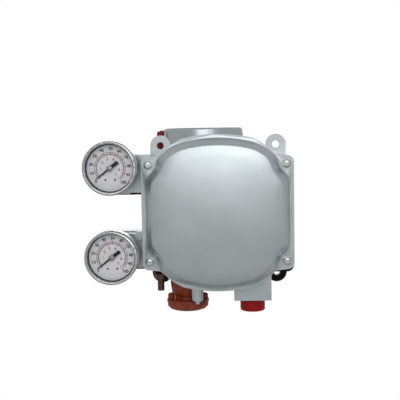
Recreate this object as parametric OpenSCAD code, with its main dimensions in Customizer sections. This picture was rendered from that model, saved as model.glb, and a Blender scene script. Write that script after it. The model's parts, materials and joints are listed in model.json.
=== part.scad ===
/* [Case] */
// Width of the case and of the cover rim
plate_w = 139; // [130:1:150]
// Height of the case between its bowed top and bottom
plate_h = 144; // [138:1:150]
// Radius of the bowed top and bottom edges
bow_r = 135; // [125:1:150]
// Distance from a cover screw to the end of its corner lug
lug_edge = 7.5; // [6:0.5:9]
// Corner radius of a lug
lug_r = 6; // [5:0.5:8]
// Slope of the edge between a lug and the bow, in degrees
lug_slope = 6; // [3:1:10]
// Distance from the centre to the cut across each corner of the bow
corner_cut = 74.9; // [73:0.1:77]
// Depth of the case from its mounting face to its mouth
case_depth = 46; // [42:1:60]
// Thickness of the case side wall
case_wall = 4; // [3:0.5:5]
// Thickness of the case rear wall
rear_wall = 5; // [4:0.5:8]
// Distance from a cover screw to the side of the case
screw_edge = 6.5; // [6:0.5:8]
// Distance between the cover screws along Z
screw_span_z = 89; // [84:1:92]
// Radius of the bosses that take the cover screws
screw_boss_r = 6.5; // [5:0.5:8]

/* [Mounting ears] */
// Distance between the ear holes along X
ear_span_x = 110.8; // [104:0.2:116]
// Distance between the ear holes along Z
ear_span_z = 123.2; // [120:0.2:130]
// Outer radius of an ear
ear_r = 9.8; // [8:0.1:12]
// Thickness of an ear
ear_t = 6; // [4:0.5:10]
// Radius of an ear hole
ear_hole_r = 3.5; // [2.5:0.1:5]

/* [Cover] */
// Thickness of the cover gasket
gasket_t = 1; // [0.5:0.1:2]
// Thickness of the cover rim
rim_t = 5; // [4:0.5:8]
// Width of the rim around the foot of the dome
rim_w = 3.2; // [2.5:0.1:5]
// Height of the dome wall where the crown has run out
dome_h = 10.5; // [8:0.5:16]
// Height of the crown at the middle of the face
crown_h = 7.5; // [4:0.5:10]
// Radius of the cove around each cover screw
cove_r = 5.6; // [5:0.1:7]
// Thickness of the cover shell
cover_wall = 3; // [2:0.5:4]
// Radius of a cover screw shank
screw_r = 2.4; // [2:0.1:3]
// Radius of a cover screw head
screw_head_r = 4; // [3.5:0.1:5]
// Height of a cover screw head
screw_head_h = 2.6; // [2:0.1:4]
// Length of a cover screw shank
screw_len = 16; // [12:1:24]

/* [Conduit entry] */
// Width of the conduit boss
conduit_w = 34.6; // [30:0.2:40]
// Depth of the conduit boss
conduit_d = 30; // [27:1:34]
// Place of the conduit boss along X
conduit_x = 31.4; // [26:0.2:38]
// Lowest point of the conduit boss below the case centre
conduit_drop = 82.5; // [78:0.5:90]
// Radius of the conduit thread
conduit_r = 10.2; // [9:0.1:11.5]
// Radius of a shipping plug head
plug_head_r = 11.6; // [10.5:0.1:12.5]
// Height of the lower plug head
plug_head_h = 11.5; // [6:0.5:13]
// Length of a shipping plug thread
plug_thread_l = 12; // [8:1:13]

/* [Transmitter housing] */
// Outer radius of the round housing
drum_r = 40; // [36:0.5:44]
// Thickness of the housing wall
drum_wall = 4; // [3:0.5:6]
// Place of the housing axis along X
drum_x = -14.9; // [-20:0.1:-12]
// Gap between the case and the round wall of the housing
drum_gap = 3; // [1:0.5:8]
// Height of the housing top above the case centre
drum_top = 78.3; // [76:0.1:84]
// Length of the housing body
drum_l = 54; // [52:1:58]
// Height of the lid rim
lid_h = 10; // [8:0.5:14]
// Height of the side conduit entry above the case centre
side_entry_z = 65; // [63:0.5:66]
// Radius of the boss round the side conduit entry
side_boss_r = 13.2; // [12:0.1:14]
// How far the side conduit boss stands out of the round wall
side_boss_out = 0.7; // [0.5:0.1:4]
// Height of the upper plug head
upper_plug_h = 5; // [4:0.5:9]

/* [Gauge blocks] */
// Length of a gauge block
block_l = 30; // [30:1:40]
// Depth of a gauge block
block_d = 24; // [22:1:28]
// Distance from the case mouth to the front of a gauge block
block_back = 6; // [4:0.5:8]
// Length of the case pad behind a gauge block
pad_l = 7.5; // [5:0.5:12]
// Step between a gauge block and its pad
pad_step = 0.3; // [0.2:0.1:3]
// Top of the upper block above the case centre
upper_block_top = 54.2; // [52:0.2:56]
// Height of the upper block
upper_block_h = 37.4; // [36:0.1:38]
// Bottom of the lower block below the case centre
lower_block_drop = 52.8; // [51:0.1:54]
// Height of the lower block
lower_block_h = 35.8; // [34:0.1:37]
// Radius of an air port
port_r = 5.7; // [5:0.1:6.5]
// Depth of an air port
port_l = 14; // [10:1:16]

/* [Gauges] */
// Radius of a gauge bezel
bezel_r = 24.3; // [22:0.1:26]
// Distance of the gauge axes from the case centre
gauge_x = -95.7; // [-98:0.1:-93]
// Height of the upper gauge axis
upper_gauge_z = 42.8; // [40:0.2:44]
// Height of the lower gauge axis
lower_gauge_z = -37.7; // [-40:0.1:-36]
// Length of the hex on a gauge socket
socket_l = 8; // [6:0.5:12]
// Depth of a gauge can
can_l = 20; // [18:0.5:26]
// Thickness of the can wall
can_wall = 1.2; // [0.8:0.1:1.6]
// Thickness of a gauge window
window_t = 2; // [1:0.5:3]
// Pointer length from the hub
pointer_l = 16; // [12:0.5:18]
// Length of the broad pointer tail from the hub
tail_l = 9; // [6:0.5:12]
// Pointer direction at zero, in degrees clockwise from straight up
pointer_zero = 233; // [225:1:240]

/* [Pilot relay] */
// Place of the pilot axis along X
pilot_x = -30.2; // [-32:0.2:-26]
// Radius of the pilot flange
flange_r = 20; // [18.5:0.1:22]
// Thickness of the pilot flange
flange_t = 3.2; // [2.5:0.1:5]
// Length of the pilot neck below its seat in the case
neck_l = 23; // [21:0.5:26]
// Radius of the neck at the case
neck_top_r = 16.3; // [15:0.1:17]
// Radius of the neck at the flange
neck_low_r = 12; // [11:0.1:12.5]
// Height of the pilot cap
pilot_cap_h = 7; // [4:0.1:8]
// Distance of the pilot screws from the axis
pilot_screw_r = 16; // [15.5:0.1:16.4]
// Radius of the pilot spool
spool_r = 3; // [2:0.1:4]

/* [Feedback and balance] */
// Radius of the feedback shaft
shaft_r = 5; // [4:0.1:6]
// Height of the feedback shaft above the case centre
shaft_z = -14; // [-16:0.5:-12]
// Length of the shaft behind the mounting face
shaft_out = 30; // [22:1:50]
// Travel of the feedback shaft each way, in degrees
shaft_travel = 35; // [20:1:45]
// Cam radius at mid travel
cam_r = 20.5; // [18:0.5:22]
// Cam rise over the travel to one side
cam_rise = 4; // [2:0.5:5]
// Thickness of the cam and of the levers
plate_t = 4; // [3:0.5:5]
// Radius of the follower roller
roller_r = 5; // [4:0.1:6]
// Gap between the roller and the cam along the lift
roller_gap = 0.5; // [0.4:0.05:1]
// Distance from the follower pivot to the roller
arm_l = 44; // [40:0.5:48]
// Height of the balance beam below the case centre
beam_drop = 36; // [34:0.5:40]
// Depth of a lever across its length
lever_h = 8; // [6:0.5:10]
// Place of the beam pivot along X
beam_pivot_x = -8; // [-12:0.5:-4]
// Place of the range spring along X
range_x = 30; // [26:0.5:33]
// Place of the zero screw along X
zero_x = 46; // [44:0.5:50]

/* [Fits] */
// Radial clearance of a shaft that turns or slides
run_fit = 0.05; // [0.02:0.01:0.1]
// Radial clearance of a thread or a seated piece
seat_fit = 0.1; // [0.05:0.01:0.2]
// Clearance between pieces that pass each other
pass_gap = 0.3; // [0.3:0.05:0.6]

/* [Hidden] */
$fn = 64;
screw_span_x = plate_w - 2 * screw_edge;
lug_h = screw_span_z + 2 * lug_edge;
mouth_y = -case_depth;
rim_y = mouth_y - gasket_t;
dome_y = rim_y - rim_t;
face_y = dome_y - dome_h;
cut_angle = 50;
bow_cut_angle = 61;
bow_cut_out = 0.4;
dome_cut_in = 0.6;
cut_blend = 4;
crown_r = 75;
ring_points = 144;
side_shift = 0.4;
bow_blend = 12;
cove_blend = 9;
// Each dome ring: how far it is inset, and its share of the dome height
dome_rings = [[0, 0], [0.7, 0.05], [1.3, 0.14], [4.8, 0.82], [5.5, 0.92], [6.3, 0.98], [7.4, 1]];
face_inset = dome_rings[len(dome_rings) - 1][0];
face_shares = [0.85, 0.65, 0.45, 0.25, 0.1];
paint = [0.65, 0.68, 0.69];
steel = [0.75, 0.75, 0.75];
red = [0.52, 0.08, 0.1];
rust = [0.5, 0.22, 0.14];
brass = [0.72, 0.58, 0.3];
black = [0.1, 0.1, 0.1];
block_front_y = mouth_y + block_back;
pad_x = -plate_w / 2 - pad_l;
pad_in = 8;
foot_drop = 3.4;
foot_l = 14;
foot_back = 20;
foot_d = 24;
port_back = 10;
port_y = block_front_y + port_back;
port_margin = 8;
block_screw_margin = 4.3;
block_screw_y = block_front_y + block_d - 4;
block_screw_r = 2.5;
block_head_r = 4;
block_head_h = 3;
stem_r = 4.9;
stem_l = 9;
can_back_y = block_front_y - socket_l;
can_front_y = can_back_y - can_l;
can_r = bezel_r - 1.2;
can_back_t = 1.5;
socket_r = 8;
dial_back = 15;
dial_y = can_back_y - dial_back;
dial_t = 1;
spindle_r = 1.5;
pointer_y = dial_y - dial_t - 1.5;
pointer_t = 0.6;
hub_r = 2.5;
bezel_out = 2.4;
bezel_front_y = can_front_y - window_t - bezel_out;
conduit_front_y = mouth_y + 2;
conduit_y = conduit_front_y + conduit_d / 2;
conduit_root_z = -lug_h / 2 + 12;
conduit_bore_z = -lug_h / 2;
pilot_y = -20;
pilot_seat_z = -plate_h / 2 + 11;
pilot_roof_t = 5;
pilot_roof_w = 3;
flange_z = pilot_seat_z - neck_l;
cap_z = flange_z - flange_t;
neck_shoulder_z = flange_z + 14;
neck_mid_r = neck_top_r - 1.2;
pilot_bolt_r = 1.5;
pilot_bolt_in = 2.5;
pilot_head_r = 3.2;
pilot_head_h = 5;
spring_r = 4.8;
collar_z = flange_z + 9;
collar_t = 1.5;
collar_r = 6;
spool_in = 1.5;
bush_flange_t = 2;
bush_r = shaft_r + 3;
shaft_collar_r = shaft_r + 3;
groove_depth = 0.4;
ring_t = 1.2;
ring_y = 1.5;
collar_gap = 0.2;
shaft_collar_t = 1.8;
cam_y = -rear_wall - bush_flange_t - collar_gap - shaft_collar_t;
cam_nut_t = 5;
lever_y = cam_y - plate_t - 4;
roller_z = shaft_z + cam_r + roller_r + roller_gap;
roller_pin_r = 2;
arm_pivot_r = 4;
beam_pivot_r = 3;
spring_y = lever_y - plate_t / 2;
range_top_z = roller_z - lever_h / 2;
beam_top_z = -beam_drop + lever_h / 2;
beam_low_z = -beam_drop - lever_h / 2;
capsule_x = 8;
capsule_r = 11;
capsule_seat_z = -58;
seat_foot_z = -plate_h / 2 + case_wall / 2;
beam_swing = 2;
capsule_gap = abs(capsule_x + 2 - beam_pivot_x) * tan(beam_swing) + pass_gap;
zero_shelf_z = -6;
zero_shelf_t = 8;
zero_screw_r = 2.5;
zero_spring_l = 7;
zero_tip_z = beam_top_z + zero_spring_l;
zero_shelf_w = 10;
zero_shelf_lip = 6;
knob_r = 7;
knob_h = 7;
vent_x = -20.2;
vent_y = -40;
vent_r = 5.3;
vent_boss_r = vent_r + 0.5;
vent_seat_z = -plate_h / 2 - 0.5;
vent_low_z = flange_z + 0.6;
vent_thread_r = 3;
vent_thread_l = 9;
vent_tip_r = 2;
vent_tip_l = 2.6;
vent_edge = 1.2;
earth_in = 13.6;
earth_x = -plate_w / 2 + earth_in;
earth_y = -20;
earth_r = 3.2;
earth_boss_h = 8;
earth_seat_z = -lug_h / 2 - earth_boss_h;
earth_out = 16.6;
earth_l = 25;
earth_nut_h = 5;
boss_w = 3;
boss_h = 20;
drum_y = drum_gap + drum_r;
drum_low = drum_top - drum_l;
side_face_x = drum_x - drum_r - side_boss_out;
saddle_w = 56;
saddle_h = 33;
saddle_low = drum_low + 3.3;
saddle_margin = 8;
housing_screw_x = 19;
housing_screw_zs = [saddle_low + saddle_margin, saddle_low + saddle_h - saddle_margin];
housing_screw_r = 2.5;
housing_screw_in = 9;
seal_t = 1.6;
spigot_l = 10;
roof_z = drum_top - drum_wall - 1;
core_r = 8;
core_low = drum_low + 12;
core_flange_r = 2.2 * core_r;
core_flange_t = 4;
terminal_w = 30;
terminal_d = 9;
terminal_h = 14;
terminal_y = drum_y + core_flange_r + 2;
terminal_slot_w = 1.5;
terminal_slot_h = 4;

// A flat X-Z shape, from y_back forward by its thickness
module forward(y_back, t) {
  translate([0, y_back, 0])
    rotate([90, 0, 0])
      linear_extrude(t)
        children();
}

module rod_y(x, z, r, y_back, l, sides = 64) {
  translate([x, y_back, z])
    rotate([90, 0, 0])
      cylinder(r = r, h = l, $fn = sides);
}

module rod_z(x, y, r, z_low, l, sides = 64) {
  translate([x, y, z_low])
    cylinder(r = r, h = l, $fn = sides);
}

module rod_x(y, z, r, x_low, l) {
  translate([x_low, y, z])
    rotate([0, 90, 0])
      cylinder(r = r, h = l);
}

module four_corners(span_x, span_z) {
  for (sx = [-1, 1], sz = [-1, 1])
    translate([sx * span_x / 2, sz * span_z / 2])
      children();
}

// Diamond whose sides face the given angle at the given distance from the centre
module diamond(angle, reach) {
  x = reach / cos(angle);
  z = reach / sin(angle);
  polygon([[x, 0], [0, z], [-x, 0], [0, -z]]);
}

// Case outline: bowed top and bottom with cut corners, straight sides and four corner lugs
module plate_outline(inset) {
  w = plate_w - 2 * inset;
  h = plate_h - 2 * inset;
  r = bow_r - inset;
  corner = lug_r - inset;
  cx = w / 2 - corner;
  cz = lug_h / 2 - lug_r;
  tangent = [cx + corner * sin(lug_slope), cz + corner * cos(lug_slope)];
  edge_l = 22;
  intersection() {
    square([w, h], center = true);
    translate([0, r - h / 2])
      circle(r, $fn = 180);
    translate([0, h / 2 - r])
      circle(r, $fn = 180);
    diamond(cut_angle, corner_cut - inset);
    diamond(bow_cut_angle, corner_cut + bow_cut_out - inset);
  }
  for (sx = [0, 1], sz = [0, 1])
    mirror([sx, 0])
      mirror([0, sz]) {
        translate([cx, cz])
          circle(corner);
        polygon([[0, 0], [w / 2, 0], [w / 2, cz], tangent,
          tangent + edge_l * [-cos(lug_slope), sin(lug_slope)]]);
      }
}

// Room inside the case, clear of the cover screw bosses
module case_room() {
  difference() {
    plate_outline(case_wall);
    four_corners(screw_span_x, screw_span_z)
      circle(screw_boss_r);
  }
}

module ear_outline() {
  for (sx = [-1, 1], sz = [-1, 1]) {
    translate([sx * ear_span_x / 2, sz * ear_span_z / 2])
      circle(ear_r);
    translate([sx * ear_span_x / 2, sz * ear_span_z / 4])
      square([2 * ear_r, ear_span_z / 2], center = true);
  }
}

// Foot below the lower right lug
module lug_foot() {
  x = plate_w / 2 - lug_r;
  z = -lug_h / 2 + lug_r - foot_drop;
  translate([x, z])
    circle(lug_r);
  translate([x - foot_l, z - lug_r])
    square([foot_l, 2 * lug_r]);
  translate([x, z])
    square(lug_r);
}

module gauge_pad(z_low, h) {
  translate([pad_x, block_front_y + pad_step, z_low + pad_step])
    cube([pad_l + pad_in, block_d - 2 * pad_step, h - 2 * pad_step]);
}

function upper_block_low() = upper_block_top - upper_block_h;
function block_screw_zs(z_low, h) = [z_low + block_screw_margin, z_low + h - block_screw_margin];

module block_screw_holes(z_low, h, r, x_low, l) {
  for (z = block_screw_zs(z_low, h))
    rod_x(block_screw_y, z, r, x_low, l);
}

module case() {
  color(paint)
    difference() {
      union() {
        difference() {
          union() {
            forward(0, case_depth)
              plate_outline(0);
            forward(0, ear_t)
              ear_outline();
            forward(-foot_back, foot_d)
              lug_foot();
            gauge_pad(upper_block_low(), upper_block_h);
            gauge_pad(-lower_block_drop, lower_block_h);
            translate([conduit_x - conduit_w / 2, conduit_front_y, -conduit_drop])
              cube([conduit_w, conduit_d, conduit_drop + conduit_root_z]);
            rod_z(vent_x, vent_y, vent_boss_r, vent_seat_z, boss_h);
            rod_z(earth_x, earth_y, earth_r + boss_w, earth_seat_z, boss_h);
          }
          forward(-rear_wall, case_depth)
            case_room();
        }
        translate([capsule_x - capsule_r, spring_y - capsule_r, seat_foot_z])
          cube([2 * capsule_r, 2 * capsule_r, capsule_seat_z - seat_foot_z]);
        intersection() {
          rod_z(pilot_x, pilot_y, neck_top_r + pilot_roof_w, pilot_seat_z - 1, pilot_roof_t + 1);
          forward(-rear_wall / 2, case_depth)
            plate_outline(case_wall / 2);
        }
      }
      forward(1, ear_t + 2)
        four_corners(ear_span_x, ear_span_z)
          circle(ear_hole_r);
      for (sx = [-1, 1], sz = [-1, 1])
        rod_y(sx * screw_span_x / 2, sz * screw_span_z / 2, screw_r + seat_fit,
          mouth_y + screw_len, screw_len + 1);
      rod_y(0, shaft_z, bush_r + seat_fit, 1, rear_wall + 2);
      rod_z(conduit_x, conduit_y, conduit_r, -conduit_drop - 1, conduit_drop + conduit_bore_z + 1);
      rod_z(pilot_x, pilot_y, neck_top_r + seat_fit, flange_z, neck_l);
      rod_z(pilot_x, pilot_y, spool_r + 2, pilot_seat_z - 1, pilot_roof_t + 2);
      rod_z(vent_x, vent_y, vent_thread_r + seat_fit, vent_seat_z - 1, vent_thread_l + 2);
      rod_z(earth_x, earth_y, earth_r + seat_fit, earth_seat_z - 1, earth_l - earth_out + 2);
      block_screw_holes(upper_block_low(), upper_block_h, block_screw_r + seat_fit, pad_x - 1, pad_l);
      block_screw_holes(-lower_block_drop, lower_block_h, block_screw_r + seat_fit, pad_x - 1, pad_l);
      for (sx = [-1, 1], z = housing_screw_zs)
        rod_y(drum_x + sx * housing_screw_x, z, housing_screw_r + seat_fit, 1, rear_wall + 2);
    }
}

// Blend of two distances that rounds the corner between them
function soft_max(a, b, k) = max(a, b) + pow(max(k - abs(a - b), 0), 2) / (4 * k);

// Distance outside the foot of the dome, in one quarter
function dome_distance(x, z) =
  let (
    bow = norm([x, z + bow_r - plate_h / 2]) - (bow_r - rim_w),
    cut = x * cos(cut_angle) + z * sin(cut_angle) - corner_cut + dome_cut_in,
    side = x - (plate_w / 2 - rim_w - side_shift),
    cove = cove_r - norm([x - screw_span_x / 2, z - screw_span_z / 2])
  )
  soft_max(soft_max(soft_max(bow, cut, cut_blend), side, bow_blend), cove, cove_blend);

// Distance from the centre, along angle a, at which the dome is inset by that much
function dome_reach(a, inset, low = plate_w / 5, high = plate_w * 0.6, steps = 24) =
  let (mid = (low + high) / 2)
  steps == 0 ? mid
  : dome_distance(abs(mid * cos(a)), abs(mid * sin(a))) < -inset
    ? dome_reach(a, inset, mid, high, steps - 1)
    : dome_reach(a, inset, low, mid, steps - 1);

// Angles crowd where the outline turns
function ring_angle(i) = let (t = 360 * i / ring_points) t - 5 * sin(4 * t);
function dome_outline(inset) = [for (i = [0:ring_points - 1])
  let (a = ring_angle(i), r = dome_reach(a, inset)) [r * cos(a), r * sin(a)]];
// Height of the crown over a point of the face
function crown(p) = crown_h * (1 - (p * p) / (crown_r * crown_r));
// Outline points raised to that share of the height of the cover there
function raised(points, share) = [for (p = points) [p[0], dome_y - share * (dome_h + crown(p)), p[1]]];

module dome() {
  foot = dome_outline(0);
  edge = dome_outline(face_inset);
  base = [for (p = foot) [p[0], dome_y + 1, p[1]]];
  walls = [for (ring = dome_rings) raised(dome_outline(ring[0]), ring[1])];
  face = [for (s = face_shares) raised(s * edge, 1)];
  rings = concat([base], walls, face);
  n = ring_points;
  last = len(rings) - 1;
  points = concat([for (ring = rings, p = ring) p], [[0, dome_y + 1, 0], [0, face_y - crown_h, 0]]);
  back_tip = len(points) - 2;
  front_tip = len(points) - 1;
  sides = [for (k = [0:last - 1], i = [0:n - 1])
    let (j = (i + 1) % n)
    each [[k * n + i, (k + 1) * n + i, (k + 1) * n + j], [k * n + i, (k + 1) * n + j, k * n + j]]];
  back = [for (i = [0:n - 1]) [i, (i + 1) % n, back_tip]];
  front = [for (i = [0:n - 1]) [last * n + (i + 1) % n, last * n + i, front_tip]];
  polyhedron(points, concat(sides, back, front));
}

// Hollow under the dome, with a roof that follows the crown in steps
module dome_room() {
  step = 0.2;
  intersection() {
    forward(rim_y + 1, rim_t + dome_h + crown_h)
      polygon(dome_outline(face_inset));
    translate([0, face_y + cover_wall, 0])
      rotate([90, 0, 0])
        rotate_extrude()
          polygon(concat([[0, -rim_t - dome_h], [crown_r, -rim_t - dome_h]],
            [for (s = [1:-step:0]) [s * crown_r, crown_h * (1 - s * s)]]));
  }
}

module front_cover() {
  color(paint)
    difference() {
      union() {
        forward(rim_y, rim_t)
          plate_outline(0);
        dome();
      }
      dome_room();
      for (sx = [-1, 1], sz = [-1, 1])
        rod_y(sx * screw_span_x / 2, sz * screw_span_z / 2, screw_r + seat_fit, rim_y + 1, rim_t + 2);
    }
}

module cover_gasket() {
  color(black)
    forward(mouth_y, gasket_t)
      difference() {
        plate_outline(0.5);
        case_room();
        four_corners(screw_span_x, screw_span_z)
          circle(screw_r + seat_fit);
      }
}

module cover_screws() {
  color(steel)
    for (sx = [-1, 1], sz = [-1, 1])
      translate([sx * screw_span_x / 2, dome_y, sz * screw_span_z / 2])
        rotate([90, 0, 0])
          rotate_extrude()
            polygon([[0, -screw_len], [screw_r, -screw_len], [screw_r, 0], [screw_head_r, 0],
              [screw_head_r, 0.4 * screw_head_h], [0.75 * screw_head_r, 0.85 * screw_head_h],
              [0.4 * screw_head_r, screw_head_h], [0, screw_head_h]]);
}

module transmitter_housing() {
  edge = 2.5;
  color(paint)
    difference() {
      union() {
        translate([drum_x, drum_y, 0])
          rotate_extrude($fn = 128) {
            translate([0, drum_low])
              square([drum_r, drum_l - edge]);
            translate([0, drum_low])
              square([drum_r - edge, drum_l]);
            translate([drum_r - edge, drum_top - edge])
              circle(edge);
          }
        translate([drum_x - saddle_w / 2, 0, saddle_low])
          cube([saddle_w, drum_y - drum_r / 2, saddle_h]);
        rod_x(drum_y, side_entry_z, side_boss_r, side_face_x, drum_r / 2);
      }
      rod_z(drum_x, drum_y, drum_r - drum_wall, drum_low - 1, roof_z - drum_low + 1);
      rod_x(drum_y, side_entry_z, conduit_r, side_face_x - 1, drum_r / 2);
      for (sx = [-1, 1], z = housing_screw_zs)
        rod_y(drum_x + sx * housing_screw_x, z, housing_screw_r + seat_fit,
          housing_screw_in + 1, housing_screw_in + 2);
    }
}

module transmitter_lid() {
  grip_r = 4;
  grip_depth = 1.8;
  top = drum_low - seal_t;
  color(paint)
    difference() {
      union() {
        rod_z(drum_x, drum_y, drum_r, top - lid_h, lid_h, 128);
        rod_z(drum_x, drum_y, drum_r - drum_wall - seat_fit, top - 1, spigot_l + seal_t + 1);
      }
      rod_z(drum_x, drum_y, drum_r - 3 * drum_wall, top - lid_h + drum_wall, lid_h + spigot_l + seal_t);
      for (a = [0:30:330])
        translate([drum_x, drum_y, 0])
          rotate(a)
            rod_z(drum_r + grip_r - grip_depth, 0, grip_r, top - lid_h - 1, lid_h - 2);
    }
}

module lid_seal() {
  color(black)
    difference() {
      rod_z(drum_x, drum_y, drum_r - seal_t / 2, drum_low - seal_t, seal_t);
      rod_z(drum_x, drum_y, drum_r - drum_wall, drum_low - seal_t - 1, seal_t + 2);
    }
}

module housing_screws() {
  head_h = 3;
  color(steel)
    for (sx = [-1, 1], z = housing_screw_zs) {
      rod_y(drum_x + sx * housing_screw_x, z, housing_screw_r, housing_screw_in, rear_wall + housing_screw_in);
      rod_y(drum_x + sx * housing_screw_x, z, 1.7 * housing_screw_r, -rear_wall, head_h);
    }
}

module coil_core() {
  color(steel) {
    rod_z(drum_x, drum_y, core_r, core_low, roof_z - core_low);
    rod_z(drum_x, drum_y, core_flange_r, roof_z - core_flange_t, core_flange_t);
  }
}

module coil() {
  wind_low = core_low + 3;
  wind_h = roof_z - core_flange_t - wind_low;
  color([0.6, 0.33, 0.18])
    difference() {
      rod_z(drum_x, drum_y, 2 * core_r, wind_low, wind_h);
      rod_z(drum_x, drum_y, core_r + seat_fit, wind_low - 1, wind_h + 2);
    }
}

module terminal_block() {
  color(black)
    difference() {
      translate([drum_x - terminal_w / 2, terminal_y, roof_z - terminal_h])
        cube([terminal_w, terminal_d, terminal_h]);
      for (k = [-0.5, 0.5])
        translate([drum_x + k * terminal_w / 3 - terminal_slot_w / 2, terminal_y - 1, roof_z - terminal_h - 1])
          cube([terminal_slot_w, terminal_d + 2, terminal_slot_h + 1]);
    }
}

module terminal_screws() {
  head_r = 3;
  head_h = 2;
  color(brass)
    for (k = [-1:1])
      rod_z(drum_x + k * terminal_w / 3, terminal_y + terminal_d / 2, head_r,
        roof_z - terminal_h - head_h, head_h);
}

// Shipping plug along Z, with its head below the origin
module plug(head_h) {
  edge = 1.6;
  rotate_extrude() {
    square([conduit_r - seat_fit, plug_thread_l]);
    translate([0, -head_h + edge])
      square([plug_head_r, head_h - edge]);
    translate([0, -head_h])
      square([plug_head_r - edge, head_h]);
    translate([plug_head_r - edge, -head_h + edge])
      circle(edge);
  }
}

module upper_conduit_plug() {
  color(red)
    translate([side_face_x, drum_y, side_entry_z])
      rotate([0, 90, 0])
        plug(upper_plug_h);
}

module lower_conduit_plug() {
  color(red)
    translate([conduit_x, conduit_y, -conduit_drop])
      plug(plug_head_h);
}

module earth_stud() {
  color(black)
    rod_z(earth_x, earth_y, earth_r, earth_seat_z - earth_out, earth_l);
}

module earth_nut() {
  color(black)
    difference() {
      rod_z(earth_x, earth_y, 2 * earth_r, earth_seat_z - earth_nut_h, earth_nut_h, 6);
      rod_z(earth_x, earth_y, earth_r + seat_fit, earth_seat_z - earth_nut_h - 1, earth_nut_h + 2);
    }
}

module gauge_block(z_low, h, gauge_z, port_z) {
  edge = 2.5;
  color(paint)
    difference() {
      translate([pad_x - block_l, block_front_y, z_low])
        rotate([90, 0, 90])
          linear_extrude(block_l)
            union() {
              translate([0, edge])
                square([block_d, h - 2 * edge]);
              translate([edge, 0])
                square([block_d - 2 * edge, h]);
              for (y = [edge, block_d - edge], z = [edge, h - edge])
                translate([y, z])
                  circle(edge);
            }
      rod_x(port_y, port_z, port_r, pad_x - block_l - 1, port_l + 1);
      rod_y(gauge_x, gauge_z, stem_r + seat_fit, block_front_y + stem_l + 1, stem_l + 2);
      block_screw_holes(z_low, h, block_screw_r + seat_fit, pad_x - block_l - 1, block_l + 2);
      block_screw_holes(z_low, h, block_head_r + seat_fit, pad_x - block_l - 1, block_head_h + 1);
    }
}

module upper_gauge_block() {
  gauge_block(upper_block_low(), upper_block_h, upper_gauge_z, upper_block_low() + port_margin);
}

module lower_gauge_block() {
  gauge_block(-lower_block_drop, lower_block_h, lower_gauge_z,
    -lower_block_drop + lower_block_h - port_margin);
}

module gauge_block_screws() {
  x_head = pad_x - block_l;
  color(steel)
    for (z = concat(block_screw_zs(upper_block_low(), upper_block_h),
        block_screw_zs(-lower_block_drop, lower_block_h))) {
      rod_x(block_screw_y, z, block_head_r, x_head, block_head_h);
      rod_x(block_screw_y, z, block_screw_r, x_head, block_l + pad_l - 2);
    }
}

module exhaust_vent() {
  top = vent_seat_z + vent_thread_l;
  color(paint)
    translate([vent_x, vent_y, 0])
      rotate_extrude()
        polygon([[0, top], [vent_thread_r, top], [vent_thread_r, vent_seat_z], [vent_r, vent_seat_z],
          [vent_r, vent_low_z + vent_edge], [vent_r - vent_edge, vent_low_z], [vent_tip_r, vent_low_z],
          [vent_tip_r, vent_low_z - vent_tip_l], [0, vent_low_z - vent_tip_l]]);
}

module gauge_socket(z) {
  color(brass) {
    rod_y(gauge_x, z, socket_r, block_front_y, socket_l, 6);
    rod_y(gauge_x, z, stem_r, block_front_y + stem_l, stem_l);
  }
}

module gauge_can(z) {
  color(black)
    difference() {
      rod_y(gauge_x, z, can_r, can_back_y, can_l);
      rod_y(gauge_x, z, can_r - can_wall, can_back_y - can_back_t, can_l);
    }
}

// Ring profile: it runs over the can and turns in over the window
module gauge_bezel(z) {
  lip = 2.6;
  skirt_l = 6;
  seat = can_r + seat_fit;
  front = can_front_y - bezel_front_y;
  color(steel)
    translate([gauge_x, can_front_y, z])
      rotate([90, 0, 0])
        rotate_extrude($fn = 96)
          polygon([[seat, -skirt_l], [bezel_r, -skirt_l], [bezel_r, front - 1.6], [bezel_r - 0.6, front - 0.5],
            [bezel_r - 1.4, front], [bezel_r - 2.2, front - 0.2], [bezel_r - lip, front - 1.6],
            [bezel_r - lip, window_t], [seat, window_t]]);
}

module gauge_window(z) {
  color([0.9, 0.95, 0.95, 0.3])
    rod_y(gauge_x, z, can_r, can_front_y, window_t);
}

module gauge_dial(z) {
  color([0.9, 0.9, 0.9])
    difference() {
      rod_y(gauge_x, z, can_r - can_wall - pass_gap, dial_y, dial_t);
      rod_y(gauge_x, z, spindle_r + run_fit, dial_y + 1, dial_t + 2);
    }
}

module gauge_pointer(z) {
  tip_w = 0.35;
  root_w = 0.9;
  tail_w = 1.6;
  spindle_in = 6;
  color(black) {
    rod_y(gauge_x, z, spindle_r, dial_y + spindle_in, dial_y + spindle_in - pointer_y + pointer_t);
    translate([gauge_x, 0, z])
      rotate([0, pointer_zero, 0])
        forward(pointer_y, pointer_t) {
          polygon([[-tip_w, pointer_l], [tip_w, pointer_l], [root_w, 0], [-root_w, 0]]);
          translate([-tail_w, -tail_l])
            square([2 * tail_w, tail_l]);
          circle(hub_r);
        }
  }
}

module gauge_hub(z) {
  color(steel)
    translate([gauge_x, pointer_y - pointer_t, z])
      rotate([90, 0, 0])
        rotate_extrude()
          polygon([[0, 0], [hub_r, 0], [hub_r, 0.8], [0.7 * hub_r, 1.3], [0, 1.5]]);
}

module bourdon_tube(z) {
  coil_r = 14;
  tube_r = 1.6;
  root_h = 4;
  root_w = 5;
  color(brass)
    translate([gauge_x, can_back_y - can_back_t - root_h / 2, z]) {
      rotate([90, 0, 0])
        rotate_extrude(angle = 250)
          translate([coil_r, 0])
            circle(tube_r, $fn = 24);
      translate([coil_r - root_w / 2, -root_h / 2, -root_w / 2])
        cube([root_w, root_h, root_w]);
    }
}

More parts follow.
